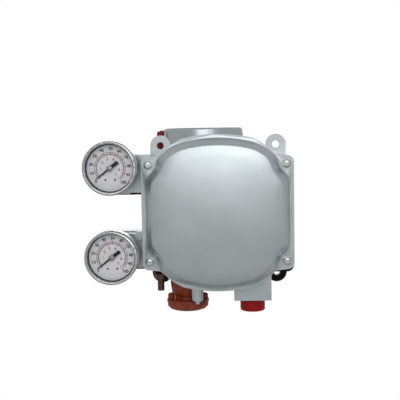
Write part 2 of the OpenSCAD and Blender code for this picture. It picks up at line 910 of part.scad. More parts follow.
module upper_socket() { gauge_socket(upper_gauge_z); }
module upper_can() { gauge_can(upper_gauge_z); }
module upper_bezel() { gauge_bezel(upper_gauge_z); }
module upper_window() { gauge_window(upper_gauge_z); }
module upper_dial() { gauge_dial(upper_gauge_z); }
module upper_pointer() { gauge_pointer(upper_gauge_z); }
module upper_pointer_hub() { gauge_hub(upper_gauge_z); }
module upper_bourdon_tube() { bourdon_tube(upper_gauge_z); }
module lower_socket() { gauge_socket(lower_gauge_z); }
module lower_can() { gauge_can(lower_gauge_z); }
module lower_bezel() { gauge_bezel(lower_gauge_z); }
module lower_window() { gauge_window(lower_gauge_z); }
module lower_dial() { gauge_dial(lower_gauge_z); }
module lower_pointer() { gauge_pointer(lower_gauge_z); }
module lower_pointer_hub() { gauge_hub(lower_gauge_z); }
module lower_bourdon_tube() { bourdon_tube(lower_gauge_z); }

module pilot_body() {
  fillet = 2;
  well_r = collar_r + pass_gap;
  color(rust)
    difference() {
      translate([pilot_x, pilot_y, 0])
        rotate_extrude($fn = 96)
          polygon([[spool_r + run_fit, pilot_seat_z], [neck_top_r, pilot_seat_z],
            [neck_top_r, neck_shoulder_z], [neck_mid_r, flange_z + 6], [neck_low_r, flange_z + 2.5],
            [neck_low_r, flange_z], [flange_r - 0.8, flange_z],
            [flange_r, flange_z - 0.8], [flange_r, cap_z], [well_r, cap_z],
            [well_r, collar_z + fillet], [spool_r + run_fit, collar_z + fillet]]);
      for (s = [-1, 1])
        rod_z(pilot_x + s * pilot_screw_r, pilot_y, pilot_bolt_r + seat_fit, cap_z - 1, flange_t + 2);
    }
}

module pilot_cap() {
  bore_depth = 3;
  step = 0.6;
  color(rust)
    difference() {
      translate([pilot_x, pilot_y, 0])
        rotate_extrude($fn = 96)
          polygon([[0, cap_z], [flange_r - step, cap_z], [flange_r - step, cap_z - 0.5 * pilot_cap_h],
            [0.85 * flange_r, cap_z - 0.85 * pilot_cap_h], [0.7 * flange_r, cap_z - pilot_cap_h],
            [0, cap_z - pilot_cap_h]]);
      rod_z(pilot_x, pilot_y, spool_r + pass_gap, cap_z - bore_depth, bore_depth + 1);
      for (s = [-1, 1])
        rod_z(pilot_x + s * pilot_screw_r, pilot_y, pilot_bolt_r + seat_fit, cap_z - bore_depth,
          bore_depth + 1);
    }
}

module pilot_screws() {
  round_h = 1.5;
  color(rust)
    for (s = [-1, 1])
      translate([pilot_x + s * pilot_screw_r, pilot_y, flange_z]) {
        translate([0, 0, -flange_t - pilot_bolt_in])
          cylinder(r = pilot_bolt_r, h = flange_t + pilot_bolt_in);
        cylinder(r = pilot_head_r, h = pilot_head_h - round_h);
        translate([0, 0, pilot_head_h - round_h])
          cylinder(r1 = pilot_head_r, r2 = pilot_head_r - round_h, h = round_h);
      }
}

module pilot_spool() {
  color(steel) {
    rod_z(pilot_x, pilot_y, spool_r, cap_z - spool_in, beam_low_z - pass_gap - cap_z + spool_in);
    rod_z(pilot_x, pilot_y, collar_r, collar_z - collar_t, collar_t);
  }
}

// Coil of round wire along Z, swept as rings of six points
module coil_spring(coil_r, wire_r, turns, l) {
  per_turn = 12;
  sides = 6;
  rings = per_turn * turns;
  rise = l - 2 * wire_r;
  points = [for (k = [0:rings], s = [0:sides - 1])
    let (a = 360 * k / per_turn, b = 360 * s / sides, r = coil_r + wire_r * cos(b))
    [r * cos(a), r * sin(a), wire_r + rise * k / rings + wire_r * sin(b)]];
  faces = concat(
    [[for (s = [0:sides - 1]) s]],
    [for (k = [0:rings - 1], s = [0:sides - 1])
      let (n = (s + 1) % sides)
      each [[k * sides + s, (k + 1) * sides + s, (k + 1) * sides + n],
        [k * sides + s, (k + 1) * sides + n, k * sides + n]]],
    [[for (s = [sides - 1:-1:0]) rings * sides + s]]);
  polyhedron(points, faces);
}

module pilot_spring() {
  color(steel)
    translate([pilot_x, pilot_y, cap_z])
      coil_spring(spring_r, 0.6, 4, collar_z - collar_t - cap_z);
}

// Shaft profile from its rear end: groove for the ring, then the collar that the cam sits on
module feedback_shaft() {
  chamfer = 1;
  thread_out = 1.5;
  groove_r = shaft_r - groove_depth;
  groove = [shaft_out - ring_y - collar_gap / 2, shaft_out - collar_gap];
  collar = [shaft_out - cam_y - shaft_collar_t, shaft_out - cam_y];
  tip = collar[1] + plate_t + cam_nut_t + thread_out;
  color(steel)
    translate([0, shaft_out, shaft_z])
      rotate([90, 0, 0])
        rotate_extrude()
          polygon([[0, 0], [shaft_r - chamfer, 0], [shaft_r, chamfer], [shaft_r, groove[0]],
            [groove_r, groove[0]], [groove_r, groove[1]], [shaft_r, groove[1]], [shaft_r, collar[0]],
            [shaft_collar_r, collar[0]], [shaft_collar_r, collar[1]], [shaft_r, collar[1]],
            [shaft_r, tip], [0, tip]]);
}

module shaft_bush() {
  color(brass)
    difference() {
      union() {
        rod_y(0, shaft_z, bush_r, 0, rear_wall);
        rod_y(0, shaft_z, bush_r + bush_flange_t, -rear_wall, bush_flange_t);
      }
      rod_y(0, shaft_z, shaft_r + run_fit, 1, rear_wall + bush_flange_t + 2);
    }
}

module shaft_ring() {
  color(steel)
    difference() {
      rod_y(0, shaft_z, shaft_r + bush_flange_t, ring_y, ring_t);
      rod_y(0, shaft_z, shaft_r - groove_depth + run_fit, ring_y + 1, ring_t + 2);
    }
}

// Cam radius at an angle counter-clockwise from straight up, seen from the front
function cam_reach(b) = cam_r + cam_rise * b / shaft_travel;

module cam() {
  half_sector = 60;
  color(steel)
    translate([0, 0, shaft_z])
      forward(cam_y, plate_t)
        difference() {
          union() {
            polygon(concat([for (b = [-half_sector:4:half_sector])
              cam_reach(b) * [-sin(b), cos(b)]], [[0, -2]]));
            circle(shaft_r + 5);
          }
          circle(shaft_r + run_fit);
        }
}

module cam_nut() {
  color(steel)
    difference() {
      rod_y(0, shaft_z, shaft_r + 4, cam_y - plate_t, cam_nut_t, 6);
      rod_y(0, shaft_z, shaft_r + run_fit, cam_y - plate_t + 1, cam_nut_t + 2);
    }
}

// Flat lever with round ends between two places along X
module lever(x_low, x_high, z) {
  translate([0, z]) {
    translate([x_low, -lever_h / 2])
      square([x_high - x_low, lever_h]);
    for (x = [x_low, x_high])
      translate([x, 0])
        circle(lever_h / 2);
  }
}

module follower_arm() {
  color(steel)
    forward(lever_y, plate_t)
      difference() {
        lever(-arm_l, range_x, roller_z);
        translate([-arm_l, roller_z])
          circle(arm_pivot_r - 1.5 + run_fit);
        translate([0, roller_z])
          circle(roller_pin_r + seat_fit);
      }
}

module follower_roller() {
  color(brass)
    difference() {
      rod_y(0, roller_z, roller_r, cam_y, plate_t);
      rod_y(0, roller_z, roller_pin_r + run_fit, cam_y + 1, plate_t + 2);
    }
}

module roller_pin() {
  head_r = 3.2;
  color(steel) {
    rod_y(0, roller_z, roller_pin_r, cam_y + pass_gap, cam_y + pass_gap - lever_y + plate_t);
    rod_y(0, roller_z, head_r, cam_y + pass_gap + 1, 1);
    rod_y(0, roller_z, head_r, lever_y + 2, 2);
  }
}

module pivot_post(x, z, r) {
  color(steel) {
    rod_y(x, z, r + 1.5, -rear_wall, -rear_wall - pass_gap - lever_y);
    rod_y(x, z, r, -rear_wall, plate_t - rear_wall - lever_y + 2 * pass_gap);
    rod_y(x, z, r + 1.5, lever_y - plate_t - pass_gap, 1.5);
  }
}

module arm_pivot_post() {
  pivot_post(-arm_l, roller_z, arm_pivot_r - 1.5);
}

module range_spring() {
  color(steel)
    translate([range_x, spring_y, beam_top_z])
      coil_spring(4, 0.7, 8, range_top_z - beam_top_z);
}

module balance_beam() {
  color(steel)
    forward(lever_y, plate_t)
      difference() {
        lever(pilot_x - 2, zero_x, -beam_drop);
        translate([beam_pivot_x, -beam_drop])
          circle(beam_pivot_r - 0.8 + run_fit);
      }
}

module beam_pivot_post() {
  pivot_post(beam_pivot_x, -beam_drop, beam_pivot_r - 0.8);
}

// Stack of three shallow lobes
module input_capsule() {
  lobes = 3;
  stem_h = 3;
  top = beam_low_z - capsule_gap;
  lobe_h = (top - stem_h - capsule_seat_z) / lobes;
  color(brass)
    translate([capsule_x, spring_y, capsule_seat_z]) {
      rotate_extrude()
        polygon(concat([[0, 0]], [for (k = [0:lobes - 1]) each [[0.55 * capsule_r, k * lobe_h],
          [0.92 * capsule_r, (k + 0.35) * lobe_h], [0.92 * capsule_r, (k + 0.65) * lobe_h],
          [0.55 * capsule_r, (k + 1) * lobe_h]]], [[0, lobes * lobe_h]]));
      cylinder(r = 2, h = top - capsule_seat_z);
    }
}

module zero_bracket() {
  color(steel)
    difference() {
      translate([zero_x - zero_shelf_w / 2, spring_y - zero_shelf_lip, zero_shelf_z - zero_shelf_t])
        cube([zero_shelf_w, -rear_wall - spring_y + zero_shelf_lip, zero_shelf_t]);
      rod_z(zero_x, spring_y, zero_screw_r + run_fit, zero_shelf_z - zero_shelf_t - 1, zero_shelf_t + 2);
    }
}

module zero_knob() {
  ribs = 16;
  color(brass)
    difference() {
      union() {
        rod_z(zero_x, spring_y, zero_screw_r, zero_tip_z, zero_shelf_z + 2 - zero_tip_z);
        rod_z(zero_x, spring_y, knob_r, zero_shelf_z + pass_gap, knob_h);
      }
      for (k = [0:ribs - 1])
        translate([zero_x, spring_y, 0])
          rotate(360 * k / ribs)
            rod_z(knob_r + 0.6, 0, 1.2, zero_shelf_z, knob_h + 2);
    }
}

module zero_spring() {
  color(steel)
    translate([zero_x, spring_y, beam_top_z])
      coil_spring(1.8, 0.5, 4, zero_tip_z - beam_top_z);
}

case();
front_cover();
cover_gasket();
cover_screws();
transmitter_housing();
transmitter_lid();
lid_seal();
housing_screws();
coil_core();
coil();
terminal_block();
terminal_screws();
upper_conduit_plug();
lower_conduit_plug();
earth_stud();
earth_nut();
upper_gauge_block();
lower_gauge_block();
gauge_block_screws();
exhaust_vent();
upper_socket();
upper_can();
upper_bezel();
upper_window();
upper_dial();
upper_pointer();
upper_pointer_hub();
upper_bourdon_tube();
lower_socket();
lower_can();
lower_bezel();
lower_window();
lower_dial();
lower_pointer();
lower_pointer_hub();
lower_bourdon_tube();
pilot_body();
pilot_cap();
pilot_screws();
pilot_spool();
pilot_spring();
feedback_shaft();
shaft_bush();
shaft_ring();
cam();
cam_nut();
follower_arm();
follower_roller();
roller_pin();
arm_pivot_post();
range_spring();
balance_beam();
beam_pivot_post();
input_capsule();
zero_bracket();
zero_knob();
zero_spring();
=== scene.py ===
# %% [markdown]
# # A pneumatic valve positioner
# The solids of this instrument come from its CAD model as a fixed frame, in metres. What is left for
# Blender is the finish: soft edges on the castings, paint, primer, steel bezels, printed dials and
# screw heads. The frame is loaded first, because every piece below takes its place from it.

# %% load the frame
import json
import math

import bpy
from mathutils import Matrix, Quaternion, Vector


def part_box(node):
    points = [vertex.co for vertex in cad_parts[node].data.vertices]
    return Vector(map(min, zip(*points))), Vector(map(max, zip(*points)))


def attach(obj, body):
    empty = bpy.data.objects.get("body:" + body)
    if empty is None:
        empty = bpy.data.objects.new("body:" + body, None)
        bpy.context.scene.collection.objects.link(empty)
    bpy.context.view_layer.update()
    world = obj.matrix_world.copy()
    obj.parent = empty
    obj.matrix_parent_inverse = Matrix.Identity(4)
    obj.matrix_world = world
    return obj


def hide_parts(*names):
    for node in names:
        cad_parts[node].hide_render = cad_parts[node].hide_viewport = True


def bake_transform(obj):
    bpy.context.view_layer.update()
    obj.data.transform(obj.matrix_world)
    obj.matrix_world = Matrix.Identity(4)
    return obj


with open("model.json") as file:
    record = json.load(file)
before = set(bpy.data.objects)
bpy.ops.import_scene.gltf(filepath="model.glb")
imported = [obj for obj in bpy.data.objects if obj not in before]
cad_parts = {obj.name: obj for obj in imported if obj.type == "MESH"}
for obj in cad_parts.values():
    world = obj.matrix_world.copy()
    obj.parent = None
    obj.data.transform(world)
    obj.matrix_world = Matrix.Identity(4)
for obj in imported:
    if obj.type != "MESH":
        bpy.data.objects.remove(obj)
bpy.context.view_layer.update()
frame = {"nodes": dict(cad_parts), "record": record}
MM = 0.001
print("CAD nodes:", len(frame["nodes"]))

# %% [markdown]
# ## The camera
# The picture was taken nearly square on, a little from the right and from above. Three facts fix that
# view: the ears at the back sit right of the cover's middle, the round housing shows its top edge on,
# and the flange at the bottom shows its upper face. A camera about three quarters of a metre away
# meets all three.

# %% camera
AIM = Vector((-15.9, -52.0, 12.3)) * MM
DISTANCE = 740 * MM
ELEVATION = math.radians(4.5)
TO_THE_RIGHT = math.radians(2.5)
ROLL = math.radians(0.9)
FRAME_WIDTH = 364 * MM
SENSOR_MM = 36.0
towards_camera = Vector((math.cos(ELEVATION) * math.sin(TO_THE_RIGHT),
                         -math.cos(ELEVATION) * math.cos(TO_THE_RIGHT), math.sin(ELEVATION)))
turn = towards_camera.to_track_quat("Z", "Y") @ Quaternion((0, 0, 1), -ROLL)
bpy.ops.object.camera_add(location=AIM + DISTANCE * towards_camera, rotation=turn.to_euler())
camera = bpy.context.object
camera.name = "photo_camera"
camera.data.sensor_width = SENSOR_MM
camera.data.lens = SENSOR_MM * DISTANCE / FRAME_WIDTH
camera.data.clip_start = 0.01
bpy.context.scene.camera = camera
bpy.context.scene.view_settings.view_transform = "Standard"
print("lens, mm:", round(camera.data.lens, 1))

# %% [markdown]
# ## Colour and nodes
# Colours are picked as sRGB hex values, the way a paint chart gives them, and shaders want linear
# light, so one function turns one into the other. A second small function adds a node, sets it and
# links it in one line, which keeps each material short enough to read.


# %% colour and node helpers
def linear(hex_colour):
    """sRGB hex to linear RGBA."""
    channels = [int(hex_colour[i:i + 2], 16) / 255 for i in (1, 3, 5)]
    return [c / 12.92 if c <= 0.04045 else ((c + 0.055) / 1.055) ** 2.4 for c in channels] + [1.0]


def add(tree, kind, sockets=None, stops=(), **settings):
    """A new node with its settings; a socket takes a value or a (node, output) pair.

    A colour ramp also takes its stops, as pairs of a position and a hex colour.
    """
    node = tree.nodes.new(kind)
    for name, value in settings.items():
        setattr(node, name, value)
    for index, (position, colour) in enumerate(stops):
        node.color_ramp.elements[index].position = position
        node.color_ramp.elements[index].color = linear(colour)
    for socket, value in (sockets or {}).items():
        if isinstance(value, tuple):
            tree.links.new(value[0].outputs[value[1]], node.inputs[socket])
        else:
            node.inputs[socket].default_value = value
    return node


def per_mm(size):
    """Texture scale at which one feature of a pattern is about this many millimetres across."""
    return 1 / (size * MM)


def blank_material(name):
    """A material with an empty tree, and that tree."""
    material = bpy.data.materials.new(name)
    material.use_nodes = True
    material.node_tree.nodes.clear()
    return material, material.node_tree


# most of a noise pattern lies between these two values
NOISE_LOW, NOISE_HIGH = 0.35, 0.65
print("middle grey in linear light:", [round(c, 3) for c in linear("#808080")])

# %% [markdown]
# ## Finishes
# The castings wear a satin silver-grey enamel: aluminium flake under a thin binder, so it is partly
# metallic, and sprayed, so it has a faint orange peel. A broad soft reflection slides over it. The
# shade under the cover and the gauge blocks is painted into the enamel: it takes a list of boxes in
# which it turns black, over the lower ears, the foot and the lower edges of the side pads. Painting
# by place keeps the casting in one piece.

# %% enamel on the castings
CLOUD_MM, FLAKE_MM, PEEL_MM = 28, 0.9, 0.05
FLAKE_METAL = 0.8
# the black of the painted shade
PAINTED_SHADE_BLACK = "#0C0B0C"


def satin_enamel(name, shade_boxes=()):
    """Silver enamel with painted shade: black inside a list of boxes, given as x and z limits in millimetres."""
    material, tree = blank_material(name)
    place = add(tree, "ShaderNodeTexCoord")
    clouds = add(tree, "ShaderNodeTexNoise", {
        "Vector": (place, "Object"), "Scale": per_mm(CLOUD_MM), "Detail": 4.0})
    flake = add(tree, "ShaderNodeTexNoise", {
        "Vector": (place, "Object"), "Scale": per_mm(FLAKE_MM), "Detail": 2.0})
    tone = add(tree, "ShaderNodeValToRGB", {"Fac": (clouds, "Fac")},
               stops=[(NOISE_LOW, "#C0C9CC"), (NOISE_HIGH, "#C8D0D3")])
    colour = (tone, "Color")
    parts = add(tree, "ShaderNodeSeparateXYZ", {"Vector": (place, "Object")}) if shade_boxes else None
    # inside each box the colour turns black: painted shade
    for x_low, x_high, z_low, z_high in shade_boxes:
        across = add(tree, "ShaderNodeMath", {
            0: (parts, "X"), 1: (x_low + x_high) / 2 * MM, 2: (x_high - x_low) / 2 * MM}, operation="COMPARE")
        down = add(tree, "ShaderNodeMath", {
            0: (parts, "Z"), 1: (z_low + z_high) / 2 * MM, 2: (z_high - z_low) / 2 * MM}, operation="COMPARE")
        black = add(tree, "ShaderNodeMath", {0: (across, 0), 1: (down, 0)}, operation="MULTIPLY")
        mix = add(tree, "ShaderNodeMix", {0: (black, 0), 6: colour, 7: linear(PAINTED_SHADE_BLACK)}, data_type="RGBA")
        colour = (mix, 2)
    rough = add(tree, "ShaderNodeMapRange", {"Value": (flake, "Fac"), "To Min": 0.28, "To Max": 0.36})
    peel = add(tree, "ShaderNodeBump", {
        "Height": (flake, "Fac"), "Strength": 0.12, "Distance": PEEL_MM * MM})
    shader = add(tree, "ShaderNodeBsdfPrincipled", {
        "Base Color": colour, "Metallic": FLAKE_METAL, "Roughness": (rough, "Result"),
        "Normal": (peel, "Normal")})
    add(tree, "ShaderNodeOutputMaterial", {"Surface": (shader, 0)})
    return material


# painted shade: boxes where the case's enamel turns black under the cover and the gauge blocks
CASE_PAINTED_SHADE = [
    (-70, -50.2, -83, -51.5),  # lower left ear
    (50.2, 70, -83, -51.5), (57, 70, -83, -49.4), (63, 70, -83, -48.4),  # lower right ear and foot
    (-78, -69.6, 15, 18.8), (-78, -69.6, -54, -51.4),  # lower edges of the side pads
]
# painted shade along the lower edge of the upper gauge block
BLOCK_PAINTED_SHADE = [(-81, -76, 15, 18.8)]
enamel = satin_enamel("satin_silver_enamel")
case_shaded_enamel = satin_enamel("satin_silver_enamel_painted_shade_ears", CASE_PAINTED_SHADE)
block_shaded_enamel = satin_enamel("satin_silver_enamel_painted_shade_edge", BLOCK_PAINTED_SHADE)
print("made", enamel.name, case_shaded_enamel.name, block_shaded_enamel.name)

# %% [markdown]
# The pilot relay below the case is an iron casting under red-brown primer. Primer is uneven: it pools,
# it is rubbed thin on the corners, it has a low sheen, and it shows the sand of the casting.

# %% primer on the pilot relay
POOL_MM, SAND_MM, GRAIN_MM = 7, 0.8, 0.12


def iron_primer():
    """Red-brown primer whose colour and sheen follow the same pools."""
    material, tree = blank_material("red_brown_primer")
    place = add(tree, "ShaderNodeTexCoord")
    pools = add(tree, "ShaderNodeTexNoise", {
        "Vector": (place, "Object"), "Scale": per_mm(POOL_MM), "Detail": 5.0})
    sand = add(tree, "ShaderNodeTexNoise", {
        "Vector": (place, "Object"), "Scale": per_mm(SAND_MM), "Detail": 3.0})
    tone = add(tree, "ShaderNodeValToRGB", {"Fac": (pools, "Fac")}, stops=[(0.3, "#6A240C"), (0.7, "#A8451E")])
    rough = add(tree, "ShaderNodeMapRange", {"Value": (pools, "Fac"), "To Min": 0.34, "To Max": 0.6})
    grain = add(tree, "ShaderNodeBump", {
        "Height": (sand, "Fac"), "Strength": 0.35, "Distance": GRAIN_MM * MM})
    shader = add(tree, "ShaderNodeBsdfPrincipled", {
        "Base Color": (tone, "Color"), "Roughness": (rough, "Result"), "Specular IOR Level": 0.45,
        "Normal": (grain, "Normal")})
    add(tree, "ShaderNodeOutputMaterial", {"Surface": (shader, 0)})
    return material


primer = iron_primer()
print("made", primer.name)

# %% [markdown]
# The shipping plugs are moulded polyethylene, deep red, a little waxy, with a fine spark-eroded
# texture from the mould. The upper plug sits behind an ear and is darker than the lower one. The
# same recipe is used twice with two pairs of reds, and the darker pair is painted shade.

# %% red polyethylene
SPARK_MM, HAZE_MM, SPARK_DEPTH_MM = 0.6, 9, 0.05
WAX_DEPTH = [0.004, 0.001, 0.001]


def red_polyethylene(name, dark, light):
    """Waxy moulded plastic between two reds; light goes a little way in."""
    material, tree = blank_material(name)
    place = add(tree, "ShaderNodeTexCoord")
    spark = add(tree, "ShaderNodeTexNoise", {
        "Vector": (place, "Object"), "Scale": per_mm(SPARK_MM), "Detail": 2.0})
    haze = add(tree, "ShaderNodeTexNoise", {
        "Vector": (place, "Object"), "Scale": per_mm(HAZE_MM), "Detail": 2.0})
    tone = add(tree, "ShaderNodeValToRGB", {"Fac": (haze, "Fac")}, stops=[(NOISE_LOW, dark), (NOISE_HIGH, light)])
    grain = add(tree, "ShaderNodeBump", {
        "Height": (spark, "Fac"), "Strength": 0.2, "Distance": SPARK_DEPTH_MM * MM})
    shader = add(tree, "ShaderNodeBsdfPrincipled", {
        "Base Color": (tone, "Color"), "Roughness": 0.42, "Specular IOR Level": 0.25,
        "Subsurface Weight": 0.05, "Subsurface Radius": WAX_DEPTH, "Normal": (grain, "Normal")})
    add(tree, "ShaderNodeOutputMaterial", {"Surface": (shader, 0)})
    return material


red_plastic = red_polyethylene("red_polyethylene", "#900408", "#A2080C")
# the darker pair of reds is painted shade for the upper plug
shaded_red_plastic = red_polyethylene("shaded_red_polyethylene", "#6C1014", "#80181C")
print("made", red_plastic.name, "and", shaded_red_plastic.name)

# %% [markdown]
# Metals differ here only in tint, roughness and the marks of how they were made. One function takes
# those, so that zinc plate, turned steel, brass, wire and satin bezel steel share one recipe: a metal
# with marks that vary its tint and its roughness together. The marks are drawn coarser than real
# ones, because finer ones would show as speckle.

# %% metals
SCRATCH_MM = 0.03


def worked_metal(name, dark, light, low_rough, high_rough, mark_mm):
    """A metal between two tints and two roughnesses, with marks of a given size."""
    material, tree = blank_material(name)
    place = add(tree, "ShaderNodeTexCoord")
    marks = add(tree, "ShaderNodeTexNoise", {
        "Vector": (place, "Object"), "Scale": per_mm(mark_mm), "Detail": 6.0})
    tone = add(tree, "ShaderNodeValToRGB", {"Fac": (marks, "Fac")}, stops=[(NOISE_LOW, dark), (NOISE_HIGH, light)])
    rough = add(tree, "ShaderNodeMapRange", {
        "Value": (marks, "Fac"), "To Min": low_rough, "To Max": high_rough})
    scratch = add(tree, "ShaderNodeBump", {
        "Height": (marks, "Fac"), "Strength": 0.08, "Distance": SCRATCH_MM * MM})
    shader = add(tree, "ShaderNodeBsdfPrincipled", {
        "Base Color": (tone, "Color"), "Metallic": 1.0, "Roughness": (rough, "Result"),
        "Normal": (scratch, "Normal")})
    add(tree, "ShaderNodeOutputMaterial", {"Surface": (shader, 0)})
    return material


# plated: an even soft glint, brighter on the new screws
zinc = worked_metal("zinc_plated_steel", "#A6A8AA", "#B4B6B8", 0.28, 0.38, 3)
bright_zinc = worked_metal("bright_zinc_plate", "#CDCFD0", "#DFE1E2", 0.12, 0.2, 1.5)
# turned or drawn: greyer, with the tool's marks
turned_steel = worked_metal("turned_steel", "#9DA0A3", "#A9ACAF", 0.3, 0.4, 3)
spring_wire = worked_metal("drawn_spring_wire", "#70747A", "#8C9096", 0.3, 0.4, 1.0)
bezel_steel = worked_metal("satin_bezel_steel", "#C9CBCA", "#CFD1D0", 0.22, 0.27, 6.0)
can_steel = worked_metal("drawn_can_steel", "#C6C8C7", "#CCCECD", 0.22, 0.28, 6.0)
# coloured: brass, lacquered copper and steel blackened in oil
yellow_brass = worked_metal("machined_brass", "#A8843F", "#C7A65C", 0.25, 0.4, 1.2)
winding = worked_metal("enamelled_copper_winding", "#8A4A2A", "#A55F38", 0.35, 0.5, 0.6)
blackened = worked_metal("blackened_steel", "#4E3A34", "#7A625A", 0.35, 0.5, 1.0)
print("made", len([m for m in bpy.data.materials if m.use_nodes]), "materials so far")

# %% [markdown]
# What is left is not metal: the pointers' satin black paint, black rubber, the dark grey rubber ring
# of painted shade inside each bezel, moulded black plastic, the matt white dial paint with its two
# printing inks, and the clear window.

# %% paints, rubber and inks
FILM_GRAIN_MM = 0.05


def dielectric(name, dark, light, roughness, mark_mm, bump):
    """Paint, rubber, plastic or ink between two close tones, with a fine grain."""
    material, tree = blank_material(name)
    place = add(tree, "ShaderNodeTexCoord")
    marks = add(tree, "ShaderNodeTexNoise", {
        "Vector": (place, "Object"), "Scale": per_mm(mark_mm), "Detail": 3.0})
    tone = add(tree, "ShaderNodeValToRGB", {"Fac": (marks, "Fac")}, stops=[(NOISE_LOW, dark), (NOISE_HIGH, light)])
    grain = add(tree, "ShaderNodeBump", {
        "Height": (marks, "Fac"), "Strength": bump, "Distance": FILM_GRAIN_MM * MM})
    shader = add(tree, "ShaderNodeBsdfPrincipled", {
        "Base Color": (tone, "Color"), "Roughness": roughness, "Normal": (grain, "Normal")})
    add(tree, "ShaderNodeOutputMaterial", {"Surface": (shader, 0)})
    return material


def clear_window():
    """Thin clear acrylic: nearly all light passes straight through."""
    material, tree = blank_material("clear_acrylic")
    shader = add(tree, "ShaderNodeBsdfPrincipled", {
        "Base Color": linear("#F7FAFA"), "Roughness": 0.02, "Transmission Weight": 1.0, "IOR": 1.12,
        "Alpha": 0.12})
    add(tree, "ShaderNodeOutputMaterial", {"Surface": (shader, 0)})
    return material


pointer_paint = dielectric("satin_black_pointer_paint", "#0B0B0C", "#121213", 0.4, 2.0, 0.1)
black_rubber = dielectric("black_seal_rubber", "#141414", "#1E1E1E", 0.75, 0.7, 0.3)
# the dark grey ring inside each bezel is painted shade
shade_ring_rubber = dielectric("dark_grey_painted_shade_rubber", "#2C2D2F", "#3C3D40", 0.6, 0.7, 0.2)
black_plastic = dielectric("black_moulded_plastic", "#141416", "#1C1C1E", 0.5, 0.5, 0.2)
dial_paint = dielectric("matt_dial_paint", "#ECEBF1", "#F2F1F6", 0.6, 1.0, 0.05)
black_ink = dielectric("black_dial_ink", "#1A1A1E", "#26262A", 0.6, 0.5, 0.05)
red_ink = dielectric("red_dial_ink", "#B5493A", "#C4584A", 0.6, 0.5, 0.05)
acrylic = clear_window()
print("made", len([m for m in bpy.data.materials if m.use_nodes]), "materials")

# %% [markdown]
# ## Every CAD node gets its finish
# The record groups the nodes by material slot. A table from slot to finish dresses all of them at
# once, the inner works too, since they show as soon as the cover is off. The gauge cans hardly show
# from the front. They are taken as drawn steel, like their bezels, which keeps the castings beside
# them as light as they should be.

# %% finishes by slot
FINISH = {
    "grey_paint": enamel, "seal_rubber": black_rubber, "plated_steel": zinc, "red_plug": red_plastic,
    "black_steel": blackened, "primer": primer, "machined_steel": turned_steel,
    "spring_steel": spring_wire, "brass": yellow_brass, "copper_wire": winding,
    "black_plastic": black_plastic, "can_paint": can_steel, "bezel_steel": bezel_steel,
    "window": acrylic, "dial_white": dial_paint, "pointer_black": pointer_paint,
    "hub_steel": turned_steel,
}
slot_of = {part["node"]: part["material_slot"] for part in frame["record"]["subparts"]}
body_of = {node: body for body, nodes in frame["record"]["behaviour"]["bodies"].items() for node in nodes}
for name, node in frame["nodes"].items():
    node.data.materials.clear()
    node.data.materials.append(FINISH[slot_of[name]])
print("dressed", len(slot_of), "nodes in", len(FINISH), "finishes")

# %% [markdown]
# ## Soft edges on the castings
# No cast or turned edge is razor sharp, and a knife edge gives a render away at once: it catches no
# light. Each visible CAD piece is copied, its loose triangles are merged and cleaned up, and its round
# faces are shaded smooth. A bevel then runs along its sharp edges, with hardened normals, so that flat
# faces stay flat beside it. The copy stands for the CAD node.

# %% helper for soft edges
MERGE = 0.001 * MM
FLAT_DEG = 0.5


def only(*pieces):
    """Select these pieces and nothing else, the last one active."""
    bpy.ops.object.select_all(action="DESELECT")
    for piece in pieces:
        piece.select_set(True)
    bpy.context.view_layer.objects.active = pieces[-1]


def settle(piece, node, finish=None, ride=True):
    """Finish, body and slot for a piece that stands for a CAD node."""
    piece.data.materials.clear()
    piece.data.materials.append(finish or FINISH[slot_of[node]])
    if ride:
        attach(piece, body_of[node])


def soft_copy(node, edge_mm, sharp_deg=35, smooth_deg=35, segments=3, reshape=None, ride=True):
    """A merged, bevelled and smoothed copy that replaces a CAD node; reshape works on it in edit mode."""
    only(frame["nodes"][node])
    bpy.ops.object.duplicate()
    piece = bpy.context.object
    for key in list(piece.keys()):
        del piece[key]
    piece.parent = None
    piece.name = node + "_finished"
    bpy.ops.object.mode_set(mode="EDIT")
    bpy.ops.mesh.select_all(action="SELECT")
    bpy.ops.mesh.remove_doubles(threshold=MERGE)
    if edge_mm:
        bpy.ops.mesh.dissolve_limited(angle_limit=math.radians(FLAT_DEG))
    if reshape:
        reshape(piece)
    bpy.ops.object.mode_set(mode="OBJECT")
    bpy.ops.object.shade_smooth_by_angle(angle=math.radians(smooth_deg))
    if edge_mm:
        bevel = piece.modifiers.new("soft_edge", "BEVEL")
        bevel.width = edge_mm * MM
        bevel.segments = segments
        bevel.limit_method = "ANGLE"
        bevel.angle_limit = math.radians(sharp_deg)
        bevel.harden_normals = True
        bpy.ops.object.modifier_apply(modifier=bevel.name)
    settle(piece, node, ride=ride)
    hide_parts(node)
    return piece


print("edges that bend less than", FLAT_DEG, "degrees are dissolved")

# %% [markdown]
# Most pieces need only a width for their edges, in millimetres: wider on sand castings, narrower on
# turned parts. The case and the upper gauge block then take the enamel with its painted shade.

# %% soften the castings
SOFT_EDGES = {
    "case": 0.8, "transmitter_lid": 0.8, "upper_gauge_block": 0.4,
    "lower_gauge_block": 0.4, "pilot_body": 0.5, "pilot_cap": 0.5, "earth_nut": 0.3,
    "upper_socket": 0.4, "lower_socket": 0.4, "upper_can": 0.5, "lower_can": 0.5,
    "lower_conduit_plug": 0.3, "feedback_shaft": 0.2, "earth_stud": 0.3,
}
for name, edge in SOFT_EDGES.items():
    soft_copy(name, edge)
# the case and the upper gauge block wear the enamel with painted shade
bpy.data.objects["case_finished"].data.materials[0] = case_shaded_enamel
bpy.data.objects["upper_gauge_block_finished"].data.materials[0] = block_shaded_enamel
print("softened", len(SOFT_EDGES), "pieces")

# %% [markdown]
# Two pieces also change a little in form, which edit mode does before the bevel. The round housing
# left its mould by a draft, so a cut goes round it near the top and the rim above is drawn in. The
# upper plug's head stands out further than its thread needs, so its end face is moved out.

